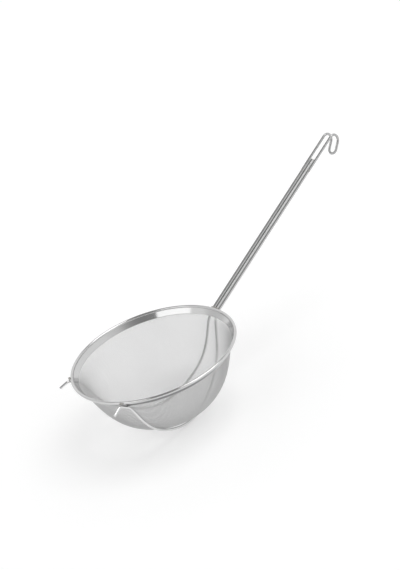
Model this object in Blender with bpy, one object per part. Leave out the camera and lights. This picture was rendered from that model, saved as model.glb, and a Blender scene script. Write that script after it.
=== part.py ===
"""Mesh skimmer: a woven wire bowl in a rolled steel rim, cradled by two bent wires that run on
as the outer wires of a flat four-wire handle with a folded-over hanging loop.

The object is first built round the bowl's axis, with the top of the rim at height 0, +Z up and
the handle towards +X. An empty then carries it so that the two cradle wires stand on height 0
under the middle of the whole object. Left is the user's left, at -Y. Lengths are in metres.
"""
import math

import bmesh
import bpy
import numpy as np
from mathutils.geometry import delaunay_2d_cdt

# Rim: one strip of sheet, rolled round a wire, with both edges running down over the mesh
RIM_RADIUS = 0.100
BEAD_RADIUS = 0.0018
BAND_SHEET = 0.00045
CORE_WIRE_RADIUS = 0.00105
FLANGE_WIDTH = 0.0087
FLANGE_SLOPE = math.radians(52.0)

# Bowl: woven wire cloth pressed to a round-bottomed bowl. The solid has a coarse grid of openings
# that leaves the cloth's share of it open: so many across, each with its side as a share of the
# grid's pitch
MESH_OPENINGS_ACROSS = 12
MESH_OPENING_SHARE = 0.71
MESH_THICKNESS = 0.0005
MESH_EDGE_INSET = 0.0070
BOWL_DEPTH = 0.0859
WALL_SLOPE = math.radians(50.0)
WALL_LEAD = 0.0172
FLOOR_REACH = 0.0808

# Frame wires: cradle under the bowl, pot rest at the front, outer wire of the handle
FRAME_WIRE_RADIUS = 0.0016
CRADLE_BULGE = 0.0020
FOOT_DROP = 0.0030
FOOT_SPAN = (0.20, 0.80)
WIRE_BEND_REACH = 0.0038
WEAR_FLAT_DEPTH = 0.00016
REST_AZIMUTHS = {"left": math.radians(149.9), "right": math.radians(142.5)}
REST_STEP = math.radians(2.5)
REST_REACH = 0.0026
REST_DIP = 0.0013
PRONG_LENGTH = 0.0132
PRONG_SPLAY = math.radians(15.5)
PRONG_DROOP = math.radians(16.5)

# Handle: two filler wires between the outer pair
FILLER_WIRE_RADIUS = 0.0016
HANDLE_ANGLE = math.radians(24.5)
HANDLE_LENGTH = 0.2300

# Hanging loop: a hairpin beside the ends of the filler wires, folded over towards the underside
LOOP_WIRE_RADIUS = 0.0016
LOOP_HALF_WIDTH = 0.0057
LOOP_OVERLAP = 0.0175
LOOP_REACH = 0.0357
LOOP_BEND_RADIUS = 0.0077
LOOP_BEND_ANGLE = math.radians(152.5)
LOOP_RETURN = 0.0091

# Welds: the tack welds' places are shares of the handle's length
WELD_RADIUS = 0.0008
REST_WELD_LENGTH = 0.0046
BUTT_WELD_THICKNESS = 0.0008
BUTT_WELD_RADIUS = 0.00172
TACK_RADIUS = 0.0005
TACK_LENGTH = 0.0036
TACK_PLACES = {"middle": 0.47, "upper": 0.88}

# Clearance left between two pieces that touch
SEAT_GAP = 0.0003

# Ends of the wires and welds: how far in the rounding starts and how thin the end is, both as
# shares of the wire's radius
CUT_END = (0.3, 0.75)
WELD_END = (0.9, 0.45)

# Facets
RING_SEGMENTS = 60
BOWL_STEPS = 80
CRADLE_STATIONS = 33
BEAD_STEPS = 11
CORE_SIDES = 8
LOOP_STEPS = 14
GRID_LINE_LEAD = 0.001
WELD_DISTANCE = 0.00001
PATH_STEP = 0.001
PATH_SLACK = 0.00006

# Worked out from the sizes above
WIRE_PITCH = FRAME_WIRE_RADIUS + SEAT_GAP + FILLER_WIRE_RADIUS
FILLER_Y = FILLER_WIRE_RADIUS + SEAT_GAP / 2
OUTER_Y = FILLER_Y + WIRE_PITCH
BEAD_CENTRE = np.array([RIM_RADIUS - BEAD_RADIUS, -BEAD_RADIUS])
UP_FLANGE = np.array([math.cos(FLANGE_SLOPE), math.sin(FLANGE_SLOPE)])
OFF_FLANGE = np.array([-math.sin(FLANGE_SLOPE), math.cos(FLANGE_SLOPE)])
LAYER_INNER = MESH_THICKNESS / 2 + SEAT_GAP
LAYER_OUTER = LAYER_INNER + BAND_SHEET
ALONG_HANDLE = np.array([math.cos(HANDLE_ANGLE), math.sin(HANDLE_ANGLE)])
OFF_HANDLE = np.array([-math.sin(HANDLE_ANGLE), math.cos(HANDLE_ANGLE)])
HANDLE_BASE = BEAD_CENTRE - OFF_HANDLE * (BEAD_RADIUS + SEAT_GAP + FRAME_WIRE_RADIUS)

LOOP_JOINT = HANDLE_LENGTH - LOOP_OVERLAP
LOOP_STRAIGHT = HANDLE_LENGTH + LOOP_REACH

SIDES = {"left": -1, "right": 1}
GROOVES = {"left": -1, "centre": 0, "right": 1}

# name: colour, roughness, metallic
FINISHES = {
    "rim_steel": ((0.62, 0.62, 0.62), 0.22, 1.0),
    "mesh_steel": ((0.50, 0.50, 0.50), 0.38, 1.0),
    "wire_steel": ((0.60, 0.60, 0.60), 0.20, 1.0),
    "filler_steel": ((0.56, 0.56, 0.56), 0.26, 1.0),
    "weld_steel": ((0.42, 0.41, 0.40), 0.45, 1.0),
}


def clear_scene():
    for old in list(bpy.data.objects):
        bpy.data.objects.remove(old, do_unlink=True)


def finish(name):
    """The Principled material of that name, made once."""
    if name in bpy.data.materials:
        return bpy.data.materials[name]
    colour, roughness, metallic = FINISHES[name]
    material = bpy.data.materials.new(name)
    material.use_nodes = True
    shader = material.node_tree.nodes["Principled BSDF"]
    shader.inputs["Base Color"].default_value = (*colour, 1.0)
    shader.inputs["Roughness"].default_value = roughness
    shader.inputs["Metallic"].default_value = metallic
    material.diffuse_color = (*colour, 1.0)
    return material


def add_object(name, data, material, carrier):
    data.materials.append(finish(material))
    piece = bpy.data.objects.new(name, data)
    bpy.context.scene.collection.objects.link(piece)
    piece.parent = carrier
    return piece


def at_azimuth(azimuth, radius, height):
    """A point at that azimuth round the bowl's axis."""
    return np.array([radius * math.cos(azimuth), radius * math.sin(azimuth), height])


def on_flange(along, off):
    """(radius, height) at along up the flange from the bead's centre and off its middle plane."""
    return BEAD_CENTRE + UP_FLANGE * along + OFF_FLANGE * off


def on_handle(along, across, off=0.0):
    """The point at along the handle, across it, and off its plane towards its upper face."""
    radius, height = HANDLE_BASE + ALONG_HANDLE * along + OFF_HANDLE * off
    return np.array([radius, across, height])


# Turned pieces


def turned(name, outline, material, carrier):
    """A (radius, height) outline spun round the bowl's axis into one closed solid."""
    shape = bmesh.new()
    verts = [shape.verts.new((radius, 0.0, height)) for radius, height in outline]
    edges = [shape.edges.new(pair) for pair in zip(verts, verts[1:])]
    if outline[0][0] > 0:
        edges.append(shape.edges.new((verts[-1], verts[0])))
    bmesh.ops.spin(
        shape,
        geom=verts + edges,
        cent=(0, 0, 0),
        axis=(0, 0, 1),
        angle=2 * math.pi,
        steps=RING_SEGMENTS,
    )
    bmesh.ops.remove_doubles(shape, verts=shape.verts, dist=1e-6)
    bmesh.ops.recalc_face_normals(shape, faces=shape.faces)
    mesh = bpy.data.meshes.new(name)
    shape.to_mesh(mesh)
    shape.free()
    mesh.shade_smooth()
    mesh.set_sharp_from_angle(angle=math.radians(40))
    return add_object(name, mesh, material, carrier)


def bead_arc(radius, layer):
    """Points round the bead from the inner layer over the top to the outer layer, at a radius."""
    start = math.pi - math.asin(layer / radius)
    angles = np.linspace(start, -start, BEAD_STEPS)
    return [on_flange(radius * math.cos(a), radius * math.sin(a)) for a in angles]


def band_outline():
    """One strip: up the inner layer, round the bead and down the outer layer, and back inside."""
    outside = bead_arc(BEAD_RADIUS, LAYER_OUTER)
    inside = bead_arc(BEAD_RADIUS - BAND_SHEET, LAYER_INNER)
    return (
        [on_flange(-FLANGE_WIDTH, LAYER_OUTER)]
        + outside
        + [on_flange(-FLANGE_WIDTH, -LAYER_OUTER), on_flange(-FLANGE_WIDTH, -LAYER_INNER)]
        + inside[::-1]
        + [on_flange(-FLANGE_WIDTH, LAYER_INNER)]
    )


def core_outline():
    """The round section of the wire inside the bead."""
    return [
        on_flange(CORE_WIRE_RADIUS * math.cos(a), CORE_WIRE_RADIUS * math.sin(a))
        for a in np.linspace(0, 2 * math.pi, CORE_SIDES, endpoint=False)
    ]


def bowl_curve(steps):
    """Middle line of the mesh below the flange and its outward normals, from rim to pole.

    A cubic Bezier curve: it leaves the flange at the wall's own slope and reaches the pole level.
    """
    start = on_flange(-FLANGE_WIDTH, 0.0)
    lead = np.array([math.cos(WALL_SLOPE), math.sin(WALL_SLOPE)]) * WALL_LEAD
    control = np.array([start, start - lead, (FLOOR_REACH, -BOWL_DEPTH), (0.0, -BOWL_DEPTH)])
    t = np.linspace(0.0, 1.0, steps + 1)[:, None]
    weights = np.hstack([(1 - t) ** 3, 3 * t * (1 - t) ** 2, 3 * t**2 * (1 - t), t**3])
    slopes = np.hstack([(1 - t) ** 2, 2 * t * (1 - t), t**2]) @ np.diff(control, axis=0)
    normals = np.column_stack([-slopes[:, 1], slopes[:, 0]])
    normals /= np.linalg.norm(normals, axis=1)[:, None]
    return weights @ control, normals


def mesh_line():
    """Middle line of the mesh from its pole to its edge between the band's layers.

    Returns its (radius, height) points, its outward normals, and each point's radius in a flat
    disc whose rings keep their area in the bowl: the square of the flat radius is twice the
    integral of the radius over the run of the line.
    """
    line, normals = bowl_curve(BOWL_STEPS)
    line = np.vstack([line[::-1], on_flange(-FLANGE_WIDTH + MESH_EDGE_INSET, 0.0)])
    normals = np.vstack([normals[::-1], -OFF_FLANGE])
    line[0][0] = 0.0
    strips = np.linalg.norm(np.diff(line, axis=0), axis=1) * (line[1:, 0] + line[:-1, 0])
    return line, normals, np.sqrt(np.concatenate([[0.0], np.cumsum(strips)]))


def flat_mesh(edge, brink):
    """Triangles of the flat disc with a grid of square openings, as points and corner numbers.

    Edge is the disc's radius and brink the radius where the band ends and the grid begins. An
    opening keeps half a bar's distance from the brink, and it is left out where its middle
    doesn't.
    """
    pitch = 2 * brink / MESH_OPENINGS_ACROSS
    half = MESH_OPENING_SHARE * pitch / 2
    margin = brink - (pitch / 2 - half)
    turns = np.linspace(0.0, 2 * math.pi, RING_SEGMENTS, endpoint=False)
    compass = np.column_stack([np.cos(turns), np.sin(turns)])
    points = [tuple(radius * corner) for radius in (edge, brink, margin) for corner in compass]
    edges = []
    for first in range(0, len(points), RING_SEGMENTS):
        ring = range(first, first + RING_SEGMENTS)
        edges += [(a, first + (a + 1 - first) % RING_SEGMENTS) for a in ring]
    middles = (np.arange(MESH_OPENINGS_ACROSS) - (MESH_OPENINGS_ACROSS - 1) / 2) * pitch
    for place in np.concatenate([middles - half, middles, middles + half]):
        reach = math.sqrt(margin**2 - place**2) + GRID_LINE_LEAD
        for pair in (((place, -reach), (place, reach)), ((-reach, place), (reach, place))):
            edges.append((len(points), len(points) + 1))
            points += pair
    cut = delaunay_2d_cdt([tuple(map(float, point)) for point in points], edges, [], 0, WELD_DISTANCE)
    flat = np.array([tuple(point) for point in cut[0]])
    corners = np.array(cut[2])

    centroids = flat[corners].mean(axis=1)
    cells = (np.floor(centroids / pitch) + 0.5) * pitch
    facing = np.roll(compass, -1, axis=0) + compass
    facing /= np.linalg.norm(facing, axis=1)[:, None]
    within = (centroids @ facing.T).max(axis=1) < margin * math.cos(math.pi / RING_SEGMENTS)
    hole = (np.abs(centroids - cells).max(axis=1) < half) & (np.hypot(*cells.T) < margin) & within
    used, corners = np.unique(corners[~hole], return_inverse=True)
    return flat[used], corners.reshape(-1, 3)


def open_bowl(name, material, carrier):
    """The mesh as a thin shell with a grid of openings, carried from a flat disc to the bowl."""
    line, normals, flat_radius = mesh_line()
    flat, corners = flat_mesh(flat_radius[-1], flat_radius[-2])
    at = np.hypot(*flat.T)
    bearing = flat / np.maximum(at, WELD_DISTANCE)[:, None]
    place = [np.interp(at, flat_radius, column) for column in (*line.T, *normals.T)]
    middle = np.column_stack([bearing * place[0][:, None], place[1]])
    outward = np.column_stack([bearing * place[2][:, None], place[3]]) * MESH_THICKNESS / 2
    count = len(flat)
    sides = np.vstack([corners[:, [0, 1]], corners[:, [1, 2]], corners[:, [2, 0]]])
    both = {tuple(side) for side in sides.tolist()}
    brims = [side for side in both if side[::-1] not in both]
    faces = corners[:, ::-1].tolist() + (corners + count).tolist()
    faces += [(a, b, b + count, a + count) for a, b in sorted(brims)]
    mesh = bpy.data.meshes.new(name)
    mesh.from_pydata(np.vstack([middle + outward, middle - outward]), [], faces)
    mesh.shade_smooth()
    mesh.set_sharp_from_angle(angle=math.radians(40))
    return add_object(name, mesh, material, carrier)


# Wires


def resampled(points, spacing):
    """Points at an even spacing along a polyline, with its ends kept."""
    points = np.array(points)
    run = np.concatenate([[0.0], np.cumsum(np.linalg.norm(np.diff(points, axis=0), axis=1))])
    count = max(2, round(run[-1] / spacing)) + 1
    at = np.linspace(0.0, run[-1], count)
    return np.column_stack([np.interp(at, run, points[:, k]) for k in range(points.shape[1])])


def bent(points):
    """A smooth wire path near a polyline: a uniform cubic B-spline over evenly spaced points."""
    knots = resampled(points, WIRE_BEND_REACH)
    knots = np.vstack([2 * knots[0] - knots[1], knots, 2 * knots[-1] - knots[-2]])
    t = np.linspace(0.0, 1.0, max(2, round(WIRE_BEND_REACH / PATH_STEP)), endpoint=False)[:, None]
    weights = np.hstack(
        [(1 - t) ** 3, 3 * t**3 - 6 * t**2 + 4, -3 * t**3 + 3 * t**2 + 3 * t + 1, t**3]
    )
    spans = [weights / 6 @ knots[k : k + 4] for k in range(len(knots) - 3)]
    return np.vstack(spans + [knots[-2]])


def thinned(points):
    """The same path with only the points needed to stay within PATH_SLACK of it."""
    chord = (points[-1] - points[0]) / np.linalg.norm(points[-1] - points[0])
    offsets = points - points[0]
    away = np.linalg.norm(offsets - np.outer(offsets @ chord, chord), axis=1)
    furthest = int(away.argmax())
    if away[furthest] < PATH_SLACK:
        return points[[0, -1]]
    return np.vstack([thinned(points[: furthest + 1]), thinned(points[furthest:])[1:]])


def eased(end, onward, ease):
    """The point a little way in from an end, and never past a third of the first stretch."""
    length = np.linalg.norm(onward - end)
    return end + (onward - end) * min(ease / length, 1 / 3)


def wire_curve(name, path, radius, end):
    """A curve with a round tube along the path, closed at both ends and eased there."""
    curve = bpy.data.curves.new(name, "CURVE")
    curve.dimensions = "3D"
    curve.bevel_depth = radius
    curve.bevel_resolution = 2
    curve.use_fill_caps = True
    path = np.array(path)
    ease, shrink = end
    first = eased(path[0], path[1], radius * ease)
    last = eased(path[-1], path[-2], radius * ease)
    points = [path[0], first, *path[1:-1], last, path[-1]]
    spline = curve.splines.new("POLY")
    spline.points.add(len(points) - 1)
    for place, point in zip(spline.points, points):
        place.co = (*point, 1.0)
    spline.points[0].radius = spline.points[-1].radius = shrink
    return curve


def wire(name, path, radius, material, carrier, end=CUT_END):
    return add_object(name, wire_curve(name, path, radius, end), material, carrier)


def wire_mesh(name, path, radius, floor, material, carrier):
    """A wire as a mesh, worn flat where it reaches below a floor height."""
    guide = bpy.data.objects.new(name + "_guide", wire_curve(name, path, radius, CUT_END))
    mesh = bpy.data.meshes.new_from_object(guide)
    bpy.data.objects.remove(guide)
    shape = bmesh.new()
    shape.from_mesh(mesh)
    bmesh.ops.remove_doubles(shape, verts=shape.verts, dist=1e-7)
    cut = bmesh.ops.bisect_plane(
        shape,
        geom=shape.verts[:] + shape.edges[:] + shape.faces[:],
        plane_co=(0, 0, floor),
        plane_no=(0, 0, 1),
        clear_inner=True,
    )
    rim = [part for part in cut["geom_cut"] if isinstance(part, bmesh.types.BMEdge)]
    bmesh.ops.contextual_create(shape, geom=rim)
    bmesh.ops.recalc_face_normals(shape, faces=shape.faces)
    shape.to_mesh(mesh)
    shape.free()
    mesh.shade_smooth()
    mesh.set_sharp_from_angle(angle=math.radians(50))
    mesh.materials.clear()
    return add_object(name, mesh, material, carrier)


def under_flange(azimuth):
    """Where a frame wire passes the flange's lower edge, just clear of its outer layer."""
    off = LAYER_OUTER + SEAT_GAP + FRAME_WIRE_RADIUS
    return at_azimuth(azimuth, *on_flange(-FLANGE_WIDTH, -off))


def cradle_line(rest_azimuth, foot_rise):
    """The stretch of a right-hand frame wire that cradles the bowl, from handle to pot rest.

    Seen from above it is almost straight. Its height follows the outside of the bowl at the
    wire's own clearance, and between the two ends of FOOT_SPAN it stands off further by foot_rise.
    """
    start = under_flange(math.asin(OUTER_Y / on_flange(-FLANGE_WIDTH, 0)[0]))
    end = under_flange(rest_azimuth)
    line, normals = bowl_curve(BOWL_STEPS)
    clear = MESH_THICKNESS / 2 + SEAT_GAP + FRAME_WIRE_RADIUS
    points = [start]
    for share in (1 - np.cos(np.pi * np.linspace(0.0, 1.0, CRADLE_STATIONS)[1:-1])) / 2:
        plan = start[:2] + (end[:2] - start[:2]) * share
        plan = plan + np.array([0.0, CRADLE_BULGE * 4 * share * (1 - share)])
        radius = np.linalg.norm(plan)
        foot = np.clip((share - FOOT_SPAN[0]) / (FOOT_SPAN[1] - FOOT_SPAN[0]), 0.0, 1.0)
        offset = line + normals * (clear + foot_rise * math.sin(math.pi * foot) ** 2)
        if radius < offset[0, 0]:
            points.append(np.array([*plan, np.interp(radius, offset[::-1, 0], offset[::-1, 1])]))
    return points + [end]


def rest_corner(rest_azimuth):
    """Where a frame wire turns from under the rim into its pot-rest prong."""
    radius, height = BEAD_CENTRE + np.array([BEAD_RADIUS + REST_REACH, -REST_DIP])
    return at_azimuth(rest_azimuth + REST_STEP, radius, height)


def frame_wire_line(rest_azimuth, foot_rise):
    """Path of a right-hand frame wire: pot-rest prong, cradle, and outer wire of the handle."""
    corner = rest_corner(rest_azimuth)
    prong = np.array(
        [
            -math.cos(PRONG_SPLAY) * math.cos(PRONG_DROOP),
            math.sin(PRONG_SPLAY) * math.cos(PRONG_DROOP),
            -math.sin(PRONG_DROOP),
        ]
    )
    handle_end = LOOP_JOINT - BUTT_WELD_THICKNESS / 2 - SEAT_GAP
    return (
        [corner + prong * PRONG_LENGTH, corner]
        + cradle_line(rest_azimuth, foot_rise)[::-1]
        + [on_handle(0.0, OUTER_Y), on_handle(handle_end, OUTER_Y)]
    )


def frame_wire_path(rest_azimuth):
    """The smooth path of a right-hand frame wire whose foot reaches FOOT_DROP below the bowl."""
    foot_rise = FOOT_DROP
    for _ in range(6):
        path = bent(frame_wire_line(rest_azimuth, foot_rise))
        foot_rise += path[:, 2].min() + BOWL_DEPTH + FOOT_DROP
    return thinned(path)


def loop_line():
    """Path of the hanging loop: a leg, the fold, the closing half-turn, and back."""
    side_view = [(LOOP_JOINT + BUTT_WELD_THICKNESS / 2 + SEAT_GAP, 0.0), (LOOP_STRAIGHT, 0.0)]
    for a in np.linspace(0.0, LOOP_BEND_ANGLE, LOOP_STEPS + 1)[1:]:
        turned_to = LOOP_BEND_RADIUS * np.array([math.sin(a), math.cos(a) - 1])
        side_view.append(turned_to + (LOOP_STRAIGHT, 0.0))
    ahead = np.array([math.cos(LOOP_BEND_ANGLE), -math.sin(LOOP_BEND_ANGLE)])
    side_view.append(side_view[-1] + ahead * LOOP_RETURN)
    leg = [on_handle(along, LOOP_HALF_WIDTH, off) for along, off in side_view]
    closing = []
    for a in np.linspace(0.0, math.pi, LOOP_STEPS + 1)[1:-1]:
        along, off = side_view[-1] + ahead * LOOP_HALF_WIDTH * math.sin(a)
        closing.append(on_handle(along, LOOP_HALF_WIDTH * math.cos(a), off))
    return np.array(leg + closing + [point * (1, -1, 1) for point in leg[::-1]])


# Welds


def rim_weld_line(azimuth, length, wire_centre, wire_heading):
    """Path of a weld that fills the corner between the bead and a wire passing under it.

    It follows the rim. In section it lies clear of the bead and of the wire by the same gap.
    """
    across = np.array([-wire_heading[1], wire_heading[0]])
    height = FRAME_WIRE_RADIUS + SEAT_GAP + WELD_RADIUS
    to_bead = BEAD_RADIUS + SEAT_GAP + WELD_RADIUS
    rise = np.dot(BEAD_CENTRE - wire_centre, across)
    ahead = np.dot(BEAD_CENTRE - wire_centre, wire_heading)
    ahead += math.sqrt(max(to_bead**2 - (rise - height) ** 2, 0.0))
    radius, level = wire_centre + across * height + wire_heading * ahead
    half = length / 2 / radius
    return np.array(
        [at_azimuth(azimuth + share * half, radius, level) for share in (-1, -0.5, 0, 0.5, 1)]
    )


def rest_weld_line(rest_azimuth):
    """Path of the weld between the rim and a right-hand frame wire on its way to its prong."""
    flange = under_flange(rest_azimuth)
    start = np.array([np.hypot(flange[0], flange[1]), flange[2]])
    corner = rest_corner(rest_azimuth)
    heading = np.array([np.hypot(corner[0], corner[1]), corner[2]]) - start
    heading /= np.linalg.norm(heading)
    return rim_weld_line(rest_azimuth + REST_STEP * 0.7, REST_WELD_LENGTH, start, heading)


def tack_line(along, across):
    """A short weld in a groove on the underside of the handle, clear of both its wires."""
    reach = FILLER_WIRE_RADIUS + SEAT_GAP + TACK_RADIUS
    off = -math.sqrt(reach**2 - (WIRE_PITCH / 2) ** 2)
    ends = (along - TACK_LENGTH / 2, along + TACK_LENGTH / 2)
    return np.array([on_handle(at, across, off) for at in np.linspace(*ends, 3)])


# The whole object


def build():
    clear_scene()
    carrier = bpy.data.objects.new("stand_origin", None)
    bpy.context.scene.collection.objects.link(carrier)

    turned("rim_band", band_outline(), "rim_steel", carrier)
    turned("rim_core_wire", core_outline(), "wire_steel", carrier)
    open_bowl("mesh_bowl", "mesh_steel", carrier)

    frame_paths = {side: frame_wire_path(REST_AZIMUTHS[side]) for side in SIDES}
    lowest = min(path[:, 2].min() for path in frame_paths.values())
    floor = lowest - FRAME_WIRE_RADIUS + WEAR_FLAT_DEPTH
    for side, sign in SIDES.items():
        path = frame_paths[side] * (1, sign, 1)
        name = "cradle_wire_" + side
        wire_mesh(name, path, FRAME_WIRE_RADIUS, floor, "wire_steel", carrier)
        filler = [on_handle(along, sign * FILLER_Y) for along in (0.0, HANDLE_LENGTH)]
        wire("handle_filler_" + side, filler, FILLER_WIRE_RADIUS, "filler_steel", carrier)
        butt_y = sign * (OUTER_Y + LOOP_HALF_WIDTH) / 2
        butt = [on_handle(LOOP_JOINT + end * BUTT_WELD_THICKNESS / 2, butt_y) for end in (-1, 1)]
        wire("loop_weld_" + side, butt, BUTT_WELD_RADIUS, "weld_steel", carrier)
        rest_weld = rest_weld_line(REST_AZIMUTHS[side]) * (1, sign, 1)
        wire("rest_weld_" + side, rest_weld, WELD_RADIUS, "weld_steel", carrier, WELD_END)

    wire("hanging_loop", loop_line(), LOOP_WIRE_RADIUS, "wire_steel", carrier)
    rim_weld = rim_weld_line(0.0, 2 * (OUTER_Y + WELD_RADIUS), HANDLE_BASE, ALONG_HANDLE)
    wire("rim_handle_weld", rim_weld, WELD_RADIUS, "weld_steel", carrier, WELD_END)
    for place, along in TACK_PLACES.items():
        for groove, share in GROOVES.items():
            tack = tack_line(along * HANDLE_LENGTH, share * (OUTER_Y + FILLER_Y) / 2)
            name = f"tack_weld_{place}_{groove}"
            wire(name, tack, TACK_RADIUS, "weld_steel", carrier, WELD_END)

    carrier.location = (-middle_of(carrier), 0.0, -floor)
    bpy.context.view_layer.update()


def middle_of(carrier):
    """Half way between the lowest and highest x of every piece."""
    graph = bpy.context.evaluated_depsgraph_get()
    xs = []
    for piece in carrier.children:
        mesh = piece.evaluated_get(graph).to_mesh()
        xs += [vert.co.x for vert in mesh.vertices]
    return (min(xs) + max(xs)) / 2


build()
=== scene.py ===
# Mesh skimmer: a woven wire bowl in a rolled rim, on two cradle wires that run on as the outer
# wires of a flat handle, with a folded hanging loop. Lengths are in metres, in the frame of the
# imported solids: +X along the handle, +Z up the bowl's axis, the cradle wires standing on z = 0.
import math

import bpy
import numpy as np
from mathutils import Matrix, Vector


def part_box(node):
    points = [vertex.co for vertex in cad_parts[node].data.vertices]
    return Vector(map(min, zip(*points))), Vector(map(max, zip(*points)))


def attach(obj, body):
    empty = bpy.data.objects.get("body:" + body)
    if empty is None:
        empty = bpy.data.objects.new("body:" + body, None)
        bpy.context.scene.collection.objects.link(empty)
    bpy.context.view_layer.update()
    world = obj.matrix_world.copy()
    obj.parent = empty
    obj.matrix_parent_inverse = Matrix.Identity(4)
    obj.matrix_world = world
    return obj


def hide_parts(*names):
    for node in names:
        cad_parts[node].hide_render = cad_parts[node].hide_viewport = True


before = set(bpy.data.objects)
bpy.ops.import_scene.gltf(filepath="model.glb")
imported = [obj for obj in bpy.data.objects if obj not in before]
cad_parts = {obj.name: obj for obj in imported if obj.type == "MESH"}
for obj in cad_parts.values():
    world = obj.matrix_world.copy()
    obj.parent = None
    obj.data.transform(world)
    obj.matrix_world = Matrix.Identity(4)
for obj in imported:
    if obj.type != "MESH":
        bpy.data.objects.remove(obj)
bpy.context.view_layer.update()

bandLow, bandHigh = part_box("rim_band")
rimCentre = np.array([(bandLow[0] + bandHigh[0]) / 2, 0.0, bandHigh[2]])
seatGap = 0.0003  # between two pieces that touch
inMillimetres = 1000.0  # UV maps are in millimetres


def linearFromHex(code):
    # sRGB hex to the linear colour that a shader takes
    channels = np.array([int(code[k:k + 2], 16) for k in (1, 3, 5)]) / 255
    curved = ((channels + 0.055) / 1.055) ** 2.4
    return (*np.where(channels <= 0.04045, channels / 12.92, curved).tolist(), 1.0)


def addNode(tree, kind, settings=None, links=None):
    # One shader node. A setting is a property of the node or, failing that, one of its inputs.
    node = tree.nodes.new(kind)
    for key, value in (settings or {}).items():
        if isinstance(key, str) and hasattr(node, key):
            setattr(node, key, value)
        else:
            node.inputs[key].default_value = value
    for key, source in (links or {}).items():
        tree.links.new(source, node.inputs[key])
    return node


def newMaterial(name):
    material = bpy.data.materials.new(name)
    material.use_nodes = True
    material.node_tree.nodes.clear()
    return material, material.node_tree


# What the steel finishes share: the detail of their two noises, the smears' share of the gloss, and
# the part of the noise's range that the roughness is spread over.
steel = {"lineDetail": 3.0, "lineRoughness": 0.6, "smearDetail": 4.0, "smearShare": 0.55,
         "noiseSpan": (0.3, 0.7)}


def finishSteel(name, look):
    # Stainless steel with lines left by its making. The lines follow the piece's own UV map, whose
    # u and v are millimetres across and along, or Object coordinates, which are metres. The smears
    # of handling follow Object coordinates. Inputs 6 and 7 of a colour Mix node are its A and B.
    material, tree = newMaterial(name)
    place = addNode(tree, "ShaderNodeTexCoord")
    along = addNode(tree, "ShaderNodeMapping", {"Scale": look["lineScale"]},
                    {"Vector": place.outputs[look["linesOn"]]})
    lines = addNode(tree, "ShaderNodeTexNoise",
                    {"Scale": 1.0, "Detail": steel["lineDetail"], "Roughness": steel["lineRoughness"]},
                    {"Vector": along.outputs[0]})
    smears = addNode(tree, "ShaderNodeTexNoise",
                     {"Scale": look["smearsPerMetre"], "Detail": steel["smearDetail"]},
                     {"Vector": place.outputs["Object"]})
    gloss = addNode(tree, "ShaderNodeMix", {"data_type": "FLOAT", "Factor": steel["smearShare"]},
                    {"A": lines.outputs["Fac"], "B": smears.outputs["Fac"]})
    noiseLow, noiseHigh = steel["noiseSpan"]
    lowest, highest = look["roughness"]
    roughness = addNode(tree, "ShaderNodeMapRange",
                        {"From Min": noiseLow, "From Max": noiseHigh, "To Min": lowest, "To Max": highest},
                        {"Value": gloss.outputs[0]})
    dark, light = linearFromHex(look["dark"]), linearFromHex(look["light"])
    colour = addNode(tree, "ShaderNodeMix", {"data_type": "RGBA", 6: dark, 7: light},
                     {"Factor": smears.outputs["Fac"]}).outputs[2]
    if "paintedHandleShade" in look:
        # Painted shade: the wire is painted darker along the handle, standing in for the dark reflections
        # its outer wires show. It sets in over this stretch of x.
        start, end = look["paintedHandleShadeFrom"]
        parts = addNode(tree, "ShaderNodeSeparateXYZ", None, {0: place.outputs["Object"]})
        handleShadeShare = addNode(tree, "ShaderNodeMapRange", {"From Min": start, "From Max": end},
                       {"Value": parts.outputs["X"]})
        colour = addNode(tree, "ShaderNodeMix", {"data_type": "RGBA", 7: linearFromHex(look["paintedHandleShade"])},
                         {"Factor": handleShadeShare.outputs[0], 6: colour}).outputs[2]
    if "grooveHalf" in look:
        # Painted shade in the groove between two pieces that meet at y = 0, full to half its width.
        half = look["grooveHalf"]
        parts = addNode(tree, "ShaderNodeSeparateXYZ", None, {0: place.outputs["Object"]})
        fromGroove = addNode(tree, "ShaderNodeMath", {"operation": "ABSOLUTE"}, {0: parts.outputs["Y"]})
        outsideGrooveShade = addNode(tree, "ShaderNodeMapRange", {"From Min": half / 2, "From Max": half},
                        {"Value": fromGroove.outputs[0]})
        colour = addNode(tree, "ShaderNodeMix", {"data_type": "RGBA", 6: linearFromHex(look["paintedGrooveShade"])},
                         {"Factor": outsideGrooveShade.outputs[0], 7: colour}).outputs[2]
    if "paintedUnderBeadShade" in look:
        # Painted shade on the sheet's outer turn below the bead, between two distances across in the UV
        # map's millimetres.
        start, end = look["outerTurn"]
        parts = addNode(tree, "ShaderNodeSeparateXYZ", None, {0: place.outputs["UV"]})
        turned = addNode(tree, "ShaderNodeMath",
                         {"operation": "COMPARE", 1: (start + end) / 2, 2: (end - start) / 2},
                         {0: parts.outputs["X"]})
        colour = addNode(tree, "ShaderNodeMix", {"data_type": "RGBA", 7: linearFromHex(look["paintedUnderBeadShade"])},
                         {"Factor": turned.outputs[0], 6: colour}).outputs[2]
    bump = addNode(tree, "ShaderNodeBump", {"Strength": look["bump"], "Distance": look["lineDepth"]},
                   {"Height": lines.outputs["Fac"]})
    shader = addNode(tree, "ShaderNodeBsdfPrincipled", {"Metallic": 1.0},
                     {"Base Color": colour, "Roughness": roughness.outputs[0], "Normal": bump.outputs[0]})
    addNode(tree, "ShaderNodeOutputMaterial", None, {"Surface": shader.outputs[0]})
    return material


# Stainless wire drawn through a die: bright, with faint lines along it about 0.17 mm apart and 12 mm
# long, and painted darker along the handle, a painted shade for the dark reflections there.
drawnWire = finishSteel("stainless drawn wire", {
    "light": "#E4E4E4", "dark": "#D8D8D8", "roughness": (0.09, 0.18), "bump": 0.15, "lineDepth": 0.00002,
    "linesOn": "UV", "lineScale": (6.0, 0.08, 1.0), "smearsPerMetre": 60.0,
    "paintedHandleShade": "#B6B6B6", "paintedHandleShadeFrom": (-0.034, -0.020)})
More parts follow.
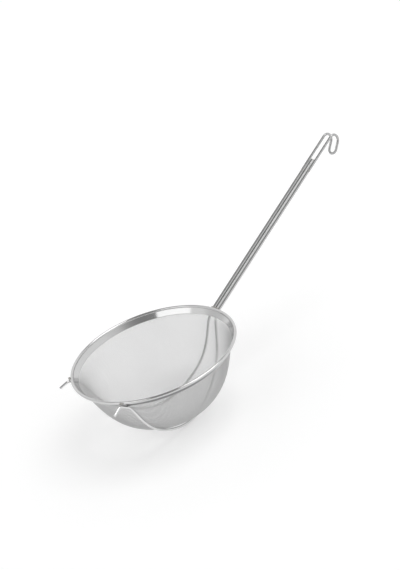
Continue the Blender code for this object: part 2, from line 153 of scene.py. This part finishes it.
# The same steel left satin, for the filler wires between the handle's outer wires: their colour is
# painted paler, a painted highlight, with painted shade in the groove between the two.
satinWire = finishSteel("stainless satin wire", {
    "light": "#F2F2F2", "dark": "#E0E0E0", "roughness": (0.34, 0.46), "bump": 0.15, "lineDepth": 0.00002,
    "linesOn": "UV", "lineScale": (6.0, 0.08, 1.0), "smearsPerMetre": 60.0,
    "grooveHalf": 0.0014, "paintedGrooveShade": "#6A6A6A"})
# Stainless sheet rolled round the rim and polished along it: lines about 0.14 mm apart and 20 mm long
# follow the rim. The turn that faces outwards below the bead is painted darker, a painted shade.
rolledSheet = finishSteel("stainless rolled sheet", {
    "light": "#D6D6D6", "dark": "#CACACA", "roughness": (0.07, 0.15), "bump": 0.12, "lineDepth": 0.00002,
    "linesOn": "UV", "lineScale": (7.0, 0.05, 1.0), "smearsPerMetre": 35.0,
    "paintedUnderBeadShade": "#7A7A7A", "outerTurn": (23.2, 30.7)})
# Thin stainless wire, woven and pressed: a duller bright, because the weave breaks up its shine. Its
# gloss varies from one crossing of wires to the next.
wovenWire = finishSteel("stainless woven wire", {
    "light": "#D6D6D6", "dark": "#C6C6C6", "roughness": (0.32, 0.46), "bump": 0.0, "lineDepth": 0.00001,
    "linesOn": "Object", "lineScale": (700.0, 700.0, 700.0), "smearsPerMetre": 40.0})
# Weld metal after electropolishing: grey, a little straw-coloured from the heat, and grainy at about
# half a millimetre.
weldMetal = finishSteel("stainless weld bead", {
    "light": "#B8B6B2", "dark": "#94928E", "roughness": (0.34, 0.52), "bump": 0.6, "lineDepth": 0.00008,
    "linesOn": "UV", "lineScale": (1.5, 2.5, 1.0), "smearsPerMetre": 300.0})
print("materials made")


def addPiece(name, material, nodes, points, faces, uvs=None):
    # A mesh object at the origin, in place of the named solids.
    mesh = bpy.data.meshes.new(name)
    mesh.from_pydata(points.reshape(-1, 3), [], faces)
    if uvs is not None:
        layer = mesh.uv_layers.new(name="along")
        layer.data.foreach_set("uv", uvs.ravel())
    mesh.shade_smooth()
    mesh.materials.append(material)
    piece = bpy.data.objects.new(name, mesh)
    bpy.context.scene.collection.objects.link(piece)
    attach(piece, "root")
    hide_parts(*nodes)


def quadsOfGrid(rows, columns, closedRows):
    # The four corners of each quad on a grid whose columns close round, as (row, column) numbers.
    last = rows if closedRows else rows - 1
    row, column = np.meshgrid(np.arange(last), np.arange(columns), indexing="ij")
    corners = [(row, column), (row, column + 1), (row + 1, column + 1), (row + 1, column)]
    return [(r.ravel(), c.ravel()) for r, c in corners]


def addGrid(name, material, nodes, grid, uvGrid, closedRows):
    # A surface from a grid of points: rows along it, columns round it. Open rows end in flat caps.
    rows, columns = grid.shape[:2]
    corners = quadsOfGrid(rows, columns, closedRows)
    faces = np.stack([(r % rows) * columns + c % columns for r, c in corners], axis=1).tolist()
    uvs = np.stack([uvGrid[r, c] for r, c in corners], axis=1).reshape(-1, 2)
    if not closedRows:
        faces += [list(range(columns))[::-1], list(range((rows - 1) * columns, rows * columns))]
        uvs = np.vstack([uvs, uvGrid[0, :columns], uvGrid[-1, :columns]])
    addPiece(name, material, nodes, grid, faces, uvs)


def runLengths(points):
    # Distance along a polyline at each of its points.
    return np.concatenate([[0.0], np.cumsum(np.linalg.norm(np.diff(points, axis=0), axis=1))])


def evenly(points, spacing):
    # Points at an even spacing along a polyline, with its ends kept.
    points = np.array(points)
    run = runLengths(points)
    count = max(2, round(run[-1] / spacing)) + 1
    at = np.linspace(0.0, run[-1], count)
    return np.column_stack([np.interp(at, run, points[:, k]) for k in range(points.shape[1])])


def smoothBend(points, reach, step):
    # Uniform cubic B-spline over evenly spaced points: it rounds each corner within its reach.
    knots = evenly(points, reach)
    knots = np.vstack([2 * knots[0] - knots[1], knots, 2 * knots[-1] - knots[-2]])
    t = np.linspace(0.0, 1.0, max(2, round(reach / step)), endpoint=False)[:, None]
    weights = np.hstack([(1 - t) ** 3, 3 * t**3 - 6 * t**2 + 4, -3 * t**3 + 3 * t**2 + 3 * t + 1, t**3]) / 6
    return np.vstack([weights @ knots[k:k + 4] for k in range(len(knots) - 3)] + [knots[-2]])


def thinned(points, slack):
    # The same path with only the points needed to stay within slack of it. A closed path has no
    # chord, so it is parted at the point furthest from its start.
    chord = (points[-1] - points[0]) / max(np.linalg.norm(points[-1] - points[0]), 1e-12)
    offsets = points - points[0]
    away = np.linalg.norm(offsets - np.outer(offsets @ chord, chord), axis=1)
    furthest = int(away.argmax())
    if away[furthest] < slack:
        return points[[0, -1]]
    return np.vstack([thinned(points[:furthest + 1], slack), thinned(points[furthest:], slack)[1:]])


def framesAlong(path):
    # Tangents of a path and normals that turn with it without twisting: each normal is the last
    # one with its part along the new tangent taken out.
    tangents = np.gradient(path, axis=0)
    tangents /= np.linalg.norm(tangents, axis=1)[:, None]
    aside = (0.0, 1.0, 0.02)  # along no path's first tangent
    normal = np.cross(tangents[0], aside)
    normals = []
    for tangent in tangents:
        normal = normal - tangent * np.dot(normal, tangent)
        normal = normal / np.linalg.norm(normal)
        normals.append(normal)
    return tangents, np.array(normals)


def ringsAlong(path, radii, run, nominalRadius, sidesRound):
    # Rings of points round a path: path + radius * (cos(a) * normal + sin(a) * binormal). The UV map
    # has the distance round a tube of the nominal radius, and the run along it.
    tangents, normals = framesAlong(path)
    binormals = np.cross(tangents, normals)
    angles = np.linspace(0.0, 2 * math.pi, sidesRound + 1)
    ring = np.cos(angles)[None, :, None] * normals[:, None]
    ring = ring + np.sin(angles)[None, :, None] * binormals[:, None]
    grid = path[:, None] + radii[:, None, None] * ring
    around = angles * nominalRadius * inMillimetres
    uvGrid = np.stack(np.broadcast_arrays(around[None], run[:, None] * inMillimetres), axis=-1)
    return grid[:, :-1], uvGrid


# The rounded cut of a wire's end: where its rings stand, as shares of the rounding, and how much of
# the radius is left at the very end.
wireEnd = {"rings": (0.0, 0.15, 0.4, 0.7, 1.0, 1.4), "tipShare": 0.7}


def tubeAlong(path, radius, sidesRound, rounding):
    # A round tube. Within the rounding of an end its radius falls as a quarter of an ellipse. The
    # last ring, just past the rounding, keeps it out of the shading of the straight part.
    steps = np.array(wireEnd["rings"]) * rounding
    run = runLengths(path)
    between = run[(run > steps[-1]) & (run < run[-1] - steps[-1])]
    at = np.unique(np.concatenate([steps, between, run[-1] - steps]))
    path = np.column_stack([np.interp(at, run, path[:, k]) for k in range(3)])
    fromEnd = np.clip(np.minimum(at, at[-1] - at) / rounding, 0.0, 1.0)
    tip = wireEnd["tipShare"]
    radii = radius * (tip + (1 - tip) * np.sqrt(1 - (1 - fromEnd) ** 2))
    return ringsAlong(path, radii, at, radius, sidesRound)


def addWire(name, nodes, path, look, material=drawnWire):
    # A round wire along a path given from the rim's centre.
    grid, uvGrid = tubeAlong(path + rimCentre, look["radius"], look["sides"], look["endRounding"])
    grid[..., 2] = np.maximum(grid[..., 2], 0.0)  # worn flat where it stands on the table
    addGrid(name, material, nodes, grid, uvGrid, closedRows=False)


# The rim: a strip of sheet folded over the edge of the mesh and rolled round a wire along its fold.
rim = {"radius": 0.100, "beadRadius": 0.0018, "sheet": 0.00045, "flangeWidth": 0.0087,
       "flangeSlope": math.radians(52.0), "segments": 240, "arcPoints": 60, "cornerReach": 0.00022,
       "cornerSteps": 3, "slack": 0.000012, "flatLead": 0.00012}
bowl = {"meshThickness": 0.0005, "depth": 0.0859, "wallSlope": math.radians(50.0), "wallLead": 0.0172,
        "floorReach": 0.0808}

beadCentre = np.array([rim["radius"] - rim["beadRadius"], -rim["beadRadius"]])
upFlange = np.array([math.cos(rim["flangeSlope"]), math.sin(rim["flangeSlope"])])
offFlange = np.array([-upFlange[1], upFlange[0]])
layerInner = bowl["meshThickness"] / 2 + seatGap
layerOuter = layerInner + rim["sheet"]


def onFlange(along, off):
    # (radius, height) at along up the flange from the bead's centre and off its middle plane
    return beadCentre + upFlange * along + offFlange * off


def atAzimuth(azimuth, radius, height):
    # The point at a radius and height, turned round the bowl's axis from +X.
    return np.array([radius * math.cos(azimuth), radius * math.sin(azimuth), height])


def beadArc(radius, layer):
    # Part of a circle round the bead's centre, from the inner layer over the top to the outer one.
    start = math.pi - math.asin(layer / radius)
    angles = np.linspace(start, -start, rim["arcPoints"])
    return [onFlange(radius * math.cos(a), radius * math.sin(a)) for a in angles]


def heldFlat(outline, lead):
    # A closed outline with two more points on each side longer than four leads, a lead in from its
    # ends, so that smooth shading leaves the side flat.
    ahead = np.roll(outline, -1, axis=0) - outline
    length = np.linalg.norm(ahead, axis=1)
    share = (lead / length)[:, None]
    points = np.stack([outline, outline + ahead * share, outline + ahead * (1 - share)], axis=1)
    return points[np.column_stack([length > 0, length > 4 * lead, length > 4 * lead])]


def bandOutline():
    # One side of the sheet from its inner edge over the bead to its outer edge, and the other back.
    faces = []
    for radius, layer in ((rim["beadRadius"] - rim["sheet"], layerInner), (rim["beadRadius"], layerOuter)):
        edges = [onFlange(-rim["flangeWidth"], off) for off in (layer, -layer)]
        faces.append(edges[:1] + beadArc(radius, layer) + edges[1:])
    inside, outside = faces
    outline = np.array(inside + outside[::-1] + inside[:1])
    outline = smoothBend(outline, rim["cornerReach"], rim["cornerReach"] / rim["cornerSteps"])
    return heldFlat(thinned(outline, rim["slack"])[:-1], rim["flatLead"])


def revolved(outline, segments):
    # (radius, height) points turned round the bowl's axis: x = r cos(a), y = r sin(a), z = height.
    angles = np.linspace(0.0, 2 * math.pi, segments + 1)
    r, z = outline[:, 0][:, None], outline[:, 1][:, None]
    grid = np.stack(np.broadcast_arrays(r * np.cos(angles), r * np.sin(angles), z), axis=-1)
    across = runLengths(np.vstack([outline, outline[:1]])) * inMillimetres
    around = angles * rim["radius"] * inMillimetres
    uvGrid = np.stack(np.broadcast_arrays(across[:, None], around[None]), axis=-1)
    return grid[:, :-1] + rimCentre, uvGrid


bandGrid, bandUvs = revolved(bandOutline(), rim["segments"])
addGrid("rimBand", rolledSheet, ["rim_band"], bandGrid, bandUvs, closedRows=True)
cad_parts["rim_core_wire"].data.materials.clear()
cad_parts["rim_core_wire"].data.materials.append(drawnWire)
print("rim made")


def bowlCurve(steps):
    # Cubic Bezier curve of the mesh's middle line, from under the flange to the pole, and its
    # outward normals.
    start = onFlange(-rim["flangeWidth"], 0.0)
    lead = np.array([math.cos(bowl["wallSlope"]), math.sin(bowl["wallSlope"])]) * bowl["wallLead"]
    control = np.array([start, start - lead, (bowl["floorReach"], -bowl["depth"]), (0.0, -bowl["depth"])])
    t = np.linspace(0.0, 1.0, steps + 1)[:, None]
    weights = np.hstack([(1 - t) ** 3, 3 * t * (1 - t) ** 2, 3 * t**2 * (1 - t), t**3])
    slopes = np.hstack([(1 - t) ** 2, 2 * t * (1 - t), t**2]) @ np.diff(control, axis=0)
    normals = np.column_stack([-slopes[:, 1], slopes[:, 0]])
    return weights @ control, normals / np.linalg.norm(normals, axis=1)[:, None]


# The bowl: plain-woven wire cloth. Real cloth this fine has a pitch near 1 mm, and this is a little
# coarser, so that it shows.
cloth = {"pitch": 0.0012, "wire": 0.00029, "edgeInset": 0.0066, "wallSteps": 400, "edgeSteps": 20}


def clothLine():
    # Middle line of the cloth from the pole to its edge inside the rim, its outward normals, and
    # the radius in the flat cloth of each point. Each ring of the flat disc keeps its area in the
    # bowl, so flat radius squared is twice the integral of radius over run.
    line, normals = bowlCurve(cloth["wallSteps"])
    up = np.linspace(0.0, cloth["edgeInset"], cloth["edgeSteps"])[1:]
    flange = np.array([onFlange(-rim["flangeWidth"] + a, 0.0) for a in up])
    line = np.vstack([line[::-1], flange])
    normals = np.vstack([normals[::-1], np.tile(-offFlange, (len(flange), 1))])
    radius, steps = line[:, 0], np.diff(runLengths(line))
    area = np.concatenate([[0.0], np.cumsum(steps * (radius[1:] + radius[:-1]))])
    return line, normals, np.sqrt(area)


def wovenWires():
    # Points where the wires cross, on a square grid in the flat cloth, carried to the bowl along
    # its middle line. At each crossing one wire passes half a wire outside and the other inside.
    line, normals, flatRadius = clothLine()
    count = 2 * int(flatRadius[-1] / cloth["pitch"]) + 1
    offsets = (np.arange(count) - (count - 1) / 2) * cloth["pitch"]
    u, v = np.meshgrid(offsets, offsets, indexing="ij")
    flat = np.hypot(u, v)
    inside = flat < flatRadius[-1]
    cosine = np.divide(u, flat, out=np.ones_like(u), where=flat > 0)
    sine = np.divide(v, flat, out=np.zeros_like(v), where=flat > 0)
    radius, height, outward, down = (np.interp(flat, flatRadius, values)
                                     for values in (line[:, 0], line[:, 1], normals[:, 0], normals[:, 1]))
    centres = np.stack([radius * cosine, radius * sine, height], axis=-1) + rimCentre
    out = np.stack([outward * cosine, outward * sine, down], axis=-1)
    parity = np.indices(u.shape).sum(axis=0) % 2 * 2 - 1
    return centres, out, parity, inside


def addWeave(name, centres, out, side, inside):
    # Thin square tubes from crossing to crossing, one along each row of the grid. The corners of a
    # ring are half a wire out, across, in and back from its middle.
    half = cloth["wire"] / 2
    along = np.gradient(centres, axis=1)
    along /= np.linalg.norm(along, axis=-1, keepdims=True)
    across = np.cross(along, out)
    across /= np.linalg.norm(across, axis=-1, keepdims=True)
    middle = centres + out * (side * half)[..., None]
    rings = np.stack([middle + way * half for way in (out, across, -out, -across)], axis=2)
    number = np.cumsum(inside).reshape(inside.shape) - 1
    joined = inside[:, :-1] & inside[:, 1:]
    here, ahead = number[:, :-1][joined] * 4, number[:, 1:][joined] * 4
    quads = [np.stack([here + k, here + (k + 1) % 4, ahead + (k + 1) % 4, ahead + k], axis=1)
             for k in range(4)]
    padded = np.pad(inside, ((0, 0), (1, 1)))
    first = number[inside & ~padded[:, :-2]] * 4
    last = number[inside & ~padded[:, 2:]] * 4
    quads.append(np.stack([first + 3, first + 2, first + 1, first], axis=1))
    quads.append(np.stack([last, last + 1, last + 2, last + 3], axis=1))
    faces = np.vstack(quads).tolist()
    addPiece(name, wovenWire, ["mesh_bowl"], rings[inside], faces)


centres, out, parity, inside = wovenWires()
middleRow = len(centres) // 2
firstHalf, lastHalf = slice(None, middleRow), slice(middleRow, None)
for name, rows in {"clothFrontWires": firstHalf, "clothBackWires": lastHalf}.items():
    addWeave(name, centres[rows], out[rows], parity[rows], inside[rows])
centres, out, parity, inside = (np.swapaxes(a, 0, 1) for a in (centres, out, parity, inside))
for name, rows in {"clothLeftWires": firstHalf, "clothRightWires": lastHalf}.items():
    addWeave(name, centres[rows], out[rows], -parity[rows], inside[rows])
print("mesh woven")


# The frame wires: pot-rest prong, cradle under the bowl and outer wire of the handle in one.
frameWire = {"radius": 0.0016, "sides": 20, "endRounding": 0.0007, "bendReach": 0.0038,
             "bendStep": 0.0008, "slack": 0.00001, "bulge": 0.0020, "footDrop": 0.0030,
             "footSpan": (0.20, 0.80), "footRounds": 6, "stations": 33, "bowlSteps": 80,
             "restAzimuths": {"left": math.radians(149.9), "right": math.radians(142.5)},
             "restStep": math.radians(2.5), "restReach": 0.0026, "restDip": 0.0013,
             "prongLength": 0.0132, "prongSplay": math.radians(15.5), "prongDroop": math.radians(16.5)}
handle = {"angle": math.radians(24.5), "length": 0.2300, "fillerRadius": 0.0016}
loop = {"radius": 0.0016, "sides": 20, "endRounding": 0.0005, "halfWidth": 0.0057, "overlap": 0.0175,
        "reach": 0.0357, "bendRadius": 0.0077, "bendAngle": math.radians(152.5), "back": 0.0091,
        "arcPoints": 41}
buttWeld = {"thickness": 0.0008, "radius": 0.00172, "sides": 16, "endRounding": 0.0003, "stations": 7}

alongHandle = np.array([math.cos(handle["angle"]), math.sin(handle["angle"])])
offHandle = np.array([-alongHandle[1], alongHandle[0]])
handleBase = beadCentre - offHandle * (rim["beadRadius"] + seatGap + frameWire["radius"])
fillerY = handle["fillerRadius"] + seatGap / 2
wirePitch = frameWire["radius"] + seatGap + handle["fillerRadius"]
outerY = fillerY + wirePitch
loopJoint = handle["length"] - loop["overlap"]


def onHandle(along, across, off=0.0):
    # The point at along the handle, across it, and off its plane towards its upper face.
    radius, height = handleBase + alongHandle * along + offHandle * off
    return np.array([radius, across, height])


def underFlange(azimuth):
    # Where a cradle wire's middle passes under the inner edge of the flange.
    off = layerOuter + seatGap + frameWire["radius"]
    return atAzimuth(azimuth, *onFlange(-rim["flangeWidth"], -off))


def restCorner(azimuth):
    # Where a cradle wire bends outwards into its prong, just past the bead.
    outwards, down = rim["beadRadius"] + frameWire["restReach"], frameWire["restDip"]
    radius, height = beadCentre + np.array([outwards, -down])
    return atAzimuth(azimuth + frameWire["restStep"], radius, height)


def cradleLine(restAzimuth, footRise):
    # Seen from above, straight with a slight parabolic bulge. Its height follows the outside of the
    # bowl at the wire's own clearance, and between the ends of the foot span it stands off further,
    # as a sine squared.
    start = underFlange(math.asin(outerY / onFlange(-rim["flangeWidth"], 0)[0]))
    end = underFlange(restAzimuth)
    line, normals = bowlCurve(frameWire["bowlSteps"])
    clear = bowl["meshThickness"] / 2 + seatGap + frameWire["radius"]
    low, high = frameWire["footSpan"]
    points = [start]
    turns = np.linspace(0.0, math.pi, frameWire["stations"])[1:-1]
    for share in (1 - np.cos(turns)) / 2:
        plan = start[:2] + (end[:2] - start[:2]) * share
        plan = plan + np.array([0.0, frameWire["bulge"] * 4 * share * (1 - share)])
        radius = np.linalg.norm(plan)
        foot = np.clip((share - low) / (high - low), 0.0, 1.0)
        offset = line + normals * (clear + footRise * math.sin(math.pi * foot) ** 2)
        if radius < offset[0, 0]:
            points.append(np.array([*plan, np.interp(radius, offset[::-1, 0], offset[::-1, 1])]))
    return points + [end]


def frameWirePath(restAzimuth):
    # The whole wire for the user's right, smoothed, with its foot let down to its level.
    splay, droop = frameWire["prongSplay"], frameWire["prongDroop"]
    outwards = math.cos(droop)
    prong = np.array([-math.cos(splay) * outwards, math.sin(splay) * outwards, -math.sin(droop)])
    corner = restCorner(restAzimuth)
    handleEnd = loopJoint - buttWeld["thickness"] / 2 - seatGap
    footRise = frameWire["footDrop"]
    for _ in range(frameWire["footRounds"]):
        line = [corner + prong * frameWire["prongLength"], corner] + cradleLine(restAzimuth, footRise)[::-1]
        line += [onHandle(0.0, outerY), onHandle(handleEnd, outerY)]
        path = smoothBend(line, frameWire["bendReach"], frameWire["bendStep"])
        footRise += path[:, 2].min() + bowl["depth"] + frameWire["footDrop"]
    return thinned(path, frameWire["slack"])


sides = {"left": -1, "right": 1}  # the user's right is +y
for side, sign in sides.items():
    path = frameWirePath(frameWire["restAzimuths"][side]) * (1, sign, 1)
    addWire("cradleWire" + side.title(), ["cradle_wire_" + side], path, frameWire)
print("cradle wires bent")

filler = {"radius": handle["fillerRadius"], "sides": 20, "endRounding": 0.0007, "stations": 30}
for side, sign in sides.items():
    stations = np.linspace(0.0, handle["length"], filler["stations"])
    path = np.array([onHandle(along, sign * fillerY) for along in stations])
    addWire("handleFiller" + side.title(), ["handle_filler_" + side], path, filler, satinWire)
print("handle made")


def loopPath():
    # Side view of a leg: straight, then an arc, then straight back. The half-turn that closes the
    # hairpin lies in the plane of the part that comes back.
    straight = handle["length"] + loop["reach"]
    sideView = [(loopJoint + buttWeld["thickness"] / 2 + seatGap, 0.0), (straight, 0.0)]
    bend = loop["bendRadius"]
    for a in np.linspace(0.0, loop["bendAngle"], loop["arcPoints"])[1:]:
        sideView.append(np.array([straight + bend * math.sin(a), bend * (math.cos(a) - 1)]))
    ahead = np.array([math.cos(loop["bendAngle"]), -math.sin(loop["bendAngle"])])
    sideView.append(sideView[-1] + ahead * loop["back"])
    leg = [onHandle(along, loop["halfWidth"], off) for along, off in sideView]
    closing = []
    for a in np.linspace(0.0, math.pi, loop["arcPoints"])[1:-1]:
        along, off = sideView[-1] + ahead * loop["halfWidth"] * math.sin(a)
        closing.append(onHandle(along, loop["halfWidth"] * math.cos(a), off))
    return np.array(leg + closing + [point * (1, -1, 1) for point in leg[::-1]])


addWire("hangingLoop", ["hanging_loop"], loopPath(), loop)
for side, sign in sides.items():
    middle = sign * (outerY + loop["halfWidth"]) / 2
    ends = buttWeld["thickness"] / 2 + seatGap
    stations = np.linspace(-ends, ends, buttWeld["stations"])
    path = np.array([onHandle(loopJoint + along, middle) for along in stations])
    addWire("loopWeld" + side.title(), ["loop_weld_" + side], path, buttWeld, weldMetal)
print("hanging loop made")


# Welds: each fills the corner between two pieces, a little proud and rippled along its length. The
# end reach is in fillets and the rest shift in rest steps.
weld = {"radius": 0.0008, "fillet": 0.0011, "restLength": 0.0046, "restShift": 0.7, "stations": 9,
        "sides": 14, "ripple": 0.12, "ripplePitch": 0.0011, "ringSpacing": 0.0002, "endReach": 1.3,
        "endFall": 0.96}
tack = {"radius": 0.0005, "fillet": 0.00075, "length": 0.0036, "places": {"middle": 0.47, "upper": 0.88},
        "sides": 12}


def addBead(name, node, path, fillet, sidesRound):
    # A tube whose radius rises and falls along it: nearly a quarter of an ellipse at each end, and a
    # small sine for the ripples.
    path = evenly(path, weld["ringSpacing"]) + rimCentre
    run = runLengths(path)
    fromEnd = np.clip(np.minimum(run, run[-1] - run) / (weld["endReach"] * fillet), 0.0, 1.0)
    ripple = 1 + weld["ripple"] * np.sin(2 * math.pi * run / weld["ripplePitch"])
    radii = fillet * np.sqrt(1 - (1 - fromEnd) ** 2 * weld["endFall"]) * ripple
    grid, uvGrid = ringsAlong(path, radii, run, fillet, sidesRound)
    addGrid(name, weldMetal, [node], grid, uvGrid, closedRows=False)


def rimWeldLine(azimuth, length, wireCentre, wireHeading):
    # Follows the rim, in the corner between the bead and a wire that passes under it.
    across = np.array([-wireHeading[1], wireHeading[0]])
    height = frameWire["radius"] + seatGap + weld["radius"]
    toBead = rim["beadRadius"] + seatGap + weld["radius"]
    toCentre = beadCentre - wireCentre
    rise, ahead = np.dot(toCentre, across), np.dot(toCentre, wireHeading)
    ahead += math.sqrt(max(toBead**2 - (rise - height) ** 2, 0.0))
    radius, level = wireCentre + across * height + wireHeading * ahead
    half = length / 2 / radius
    shares = np.linspace(-1, 1, weld["stations"])
    return np.array([atAzimuth(azimuth + share * half, radius, level) for share in shares])


path = rimWeldLine(0.0, 2 * (outerY + weld["radius"]), handleBase, alongHandle)
addBead("rimHandleWeld", "rim_handle_weld", path, weld["fillet"], weld["sides"])
for side, sign in sides.items():
    azimuth = frameWire["restAzimuths"][side]
    flange, corner = underFlange(azimuth), restCorner(azimuth)
    start = np.array([np.hypot(flange[0], flange[1]), flange[2]])
    heading = np.array([np.hypot(corner[0], corner[1]), corner[2]]) - start
    heading /= np.linalg.norm(heading)
    azimuth += frameWire["restStep"] * weld["restShift"]
    path = rimWeldLine(azimuth, weld["restLength"], start, heading) * (1, sign, 1)
    addBead("restWeld" + side.title(), "rest_weld_" + side, path, weld["fillet"], weld["sides"])
tackOff = -math.sqrt((handle["fillerRadius"] + seatGap + tack["radius"]) ** 2 - (wirePitch / 2) ** 2)
for place, share in tack["places"].items():
    for groove, sign in {"left": -1, "centre": 0, "right": 1}.items():
        ends = share * handle["length"] + np.array([-0.5, 0.5]) * tack["length"]
        path = np.array([onHandle(along, sign * (outerY + fillerY) / 2, tackOff) for along in ends])
        name = f"tackWeld{place.title()}{groove.title()}"
        addBead(name, f"tack_weld_{place}_{groove}", path, tack["fillet"], tack["sides"])
print("welds made")


# Studio: a pale tent, dimmer overhead, with darker openings, two bright cards and a high soft key
# light on the right, over a matt white table. The tent dims between two heights on a unit sphere.
studio = {"zenith": 0.50, "horizon": 0.93, "dimFrom": 0.62, "dimTo": 0.80, "sunStrength": 0.9,
          "sunAngle": math.radians(38.0), "sunAzimuth": -38.0, "sunElevation": 63.0,
          "floorColour": "#EAEAEA", "floorGlow": 0.26, "floorHalf": 30.0, "floorLevel": -0.0001}
# Each card: azimuth and elevation of its middle, half width where it is full and where it ends,
# all in degrees, and its brightness. A later card covers an earlier one.
cards = [{"at": (10.0, 74.0), "full": 12.0, "end": 34.0, "brightness": 0.20},
         {"at": (-140.0, 2.0), "full": 16.0, "end": 44.0, "brightness": 0.40},
         {"at": (-138.0, 49.0), "full": 3.0, "end": 42.0, "brightness": 0.30},
         {"at": (121.0, 17.0), "full": 5.0, "end": 22.0, "brightness": 0.72},
         {"at": (-80.0, 12.0), "full": 7.0, "end": 13.0, "brightness": 2.00},
         {"at": (-176.0, 43.0), "full": 19.5, "end": 21.5, "brightness": 1.50}]


def towards(azimuth, elevation):
    # Unit vector at an azimuth and elevation in degrees
    a, e = math.radians(azimuth), math.radians(elevation)
    return (math.cos(a) * math.cos(e), math.sin(a) * math.cos(e), math.sin(e))


world = bpy.data.worlds.new("studio tent")
bpy.context.scene.world = world
world.use_nodes = True
tree = world.node_tree
tree.nodes.clear()
direction = addNode(tree, "ShaderNodeTexCoord").outputs["Generated"]
parts = addNode(tree, "ShaderNodeSeparateXYZ", None, {0: direction})
light = addNode(tree, "ShaderNodeMapRange",
                {"From Min": studio["dimFrom"], "From Max": studio["dimTo"],
                 "To Min": studio["horizon"], "To Max": studio["zenith"]},
                {"Value": parts.outputs["Z"]}).outputs[0]
for card in cards:
    near = addNode(tree, "ShaderNodeVectorMath", {"operation": "DOT_PRODUCT", 1: towards(*card["at"])},
                   {0: direction})
    full, end = (math.cos(math.radians(card[key])) for key in ("full", "end"))
    share = addNode(tree, "ShaderNodeMapRange",
                    {"interpolation_type": "SMOOTHSTEP", "From Min": end, "From Max": full},
                    {"Value": near.outputs["Value"]})
    light = addNode(tree, "ShaderNodeMix", {"data_type": "FLOAT", "B": card["brightness"]},
                    {"Factor": share.outputs[0], "A": light}).outputs[0]
# The camera itself sees plain white behind the table.
rays = addNode(tree, "ShaderNodeLightPath")
light = addNode(tree, "ShaderNodeMix", {"data_type": "FLOAT", "B": 1.0},
                {"Factor": rays.outputs["Is Camera Ray"], "A": light}).outputs[0]
background = addNode(tree, "ShaderNodeBackground", {"Color": (1.0, 1.0, 1.0, 1.0)}, {"Strength": light})
addNode(tree, "ShaderNodeOutputWorld", None, {"Surface": background.outputs[0]})

sunData = bpy.data.lights.new("key light", "SUN")
sunData.energy, sunData.angle = studio["sunStrength"], studio["sunAngle"]
sun = bpy.data.objects.new("key light", sunData)
bpy.context.scene.collection.objects.link(sun)
tilt, turn = math.radians(90 - studio["sunElevation"]), math.radians(studio["sunAzimuth"] + 90)
sun.rotation_euler = (tilt, 0.0, turn)

# Matt white table. Camera, gloss and transmission rays see it a little brighter, up to white,
# and it keeps the object's shadow.
material, tree = newMaterial("matt white table")
rays = addNode(tree, "ShaderNodeLightPath")
seen = rays.outputs["Is Camera Ray"]
for kind in ("Is Glossy Ray", "Is Transmission Ray"):
    seen = addNode(tree, "ShaderNodeMath", {"operation": "MAXIMUM"},
                   {0: seen, 1: rays.outputs[kind]}).outputs[0]
strength = addNode(tree, "ShaderNodeMath", {"operation": "MULTIPLY", 1: studio["floorGlow"]}, {0: seen})
glow = addNode(tree, "ShaderNodeEmission", None, {"Strength": strength.outputs[0]})
matt = addNode(tree, "ShaderNodeBsdfDiffuse", {"Color": linearFromHex(studio["floorColour"])})
both = addNode(tree, "ShaderNodeAddShader", None, {0: matt.outputs[0], 1: glow.outputs[0]})
addNode(tree, "ShaderNodeOutputMaterial", None, {"Surface": both.outputs[0]})
floorMesh = bpy.data.meshes.new("table top")
half, level = studio["floorHalf"], studio["floorLevel"]
corners = [(x * half, y * half, level) for x, y in ((-1, -1), (1, -1), (1, 1), (-1, 1))]
floorMesh.from_pydata(corners, [], [(0, 1, 2, 3)])
floorMesh.materials.append(material)
floor = bpy.data.objects.new("table top", floorMesh)
bpy.context.scene.collection.objects.link(floor)
print("studio made")


# Camera: a turn about the rim's centre, rolled so that the bowl's axis leans left, and aimed past
# the rim at the middle of the picture.
shot = {"azimuth": -33.878, "elevation": 26.551, "roll": -18.524, "distance": 1.5698,
        "aimRight": 0.05449, "aimUp": 0.07604, "lens": 86.34, "sensor": 36.0, "clip": (0.05, 100.0)}
azimuth, elevation, roll = (math.radians(shot[key]) for key in ("azimuth", "elevation", "roll"))
flat = math.cos(elevation)
back = np.array([math.sin(azimuth) * flat, -math.cos(azimuth) * flat, math.sin(elevation)])
levelRight = np.array([math.cos(azimuth), math.sin(azimuth), 0.0])
levelUp = np.cross(back, levelRight)
right = math.cos(roll) * levelRight + math.sin(roll) * levelUp
up = np.cross(back, right)
cameraData = bpy.data.cameras.new("product camera")
cameraData.lens, cameraData.sensor_width = shot["lens"], shot["sensor"]
cameraData.clip_start, cameraData.clip_end = shot["clip"]
camera = bpy.data.objects.new("product camera", cameraData)
bpy.context.scene.collection.objects.link(camera)
place = rimCentre + right * shot["aimRight"] + up * shot["aimUp"] + back * shot["distance"]
stand = np.eye(4)
stand[:3] = np.column_stack([right, up, back, place])
camera.matrix_world = Matrix(stand)
bpy.context.scene.camera = camera
bpy.context.scene.view_settings.view_transform = "Standard"
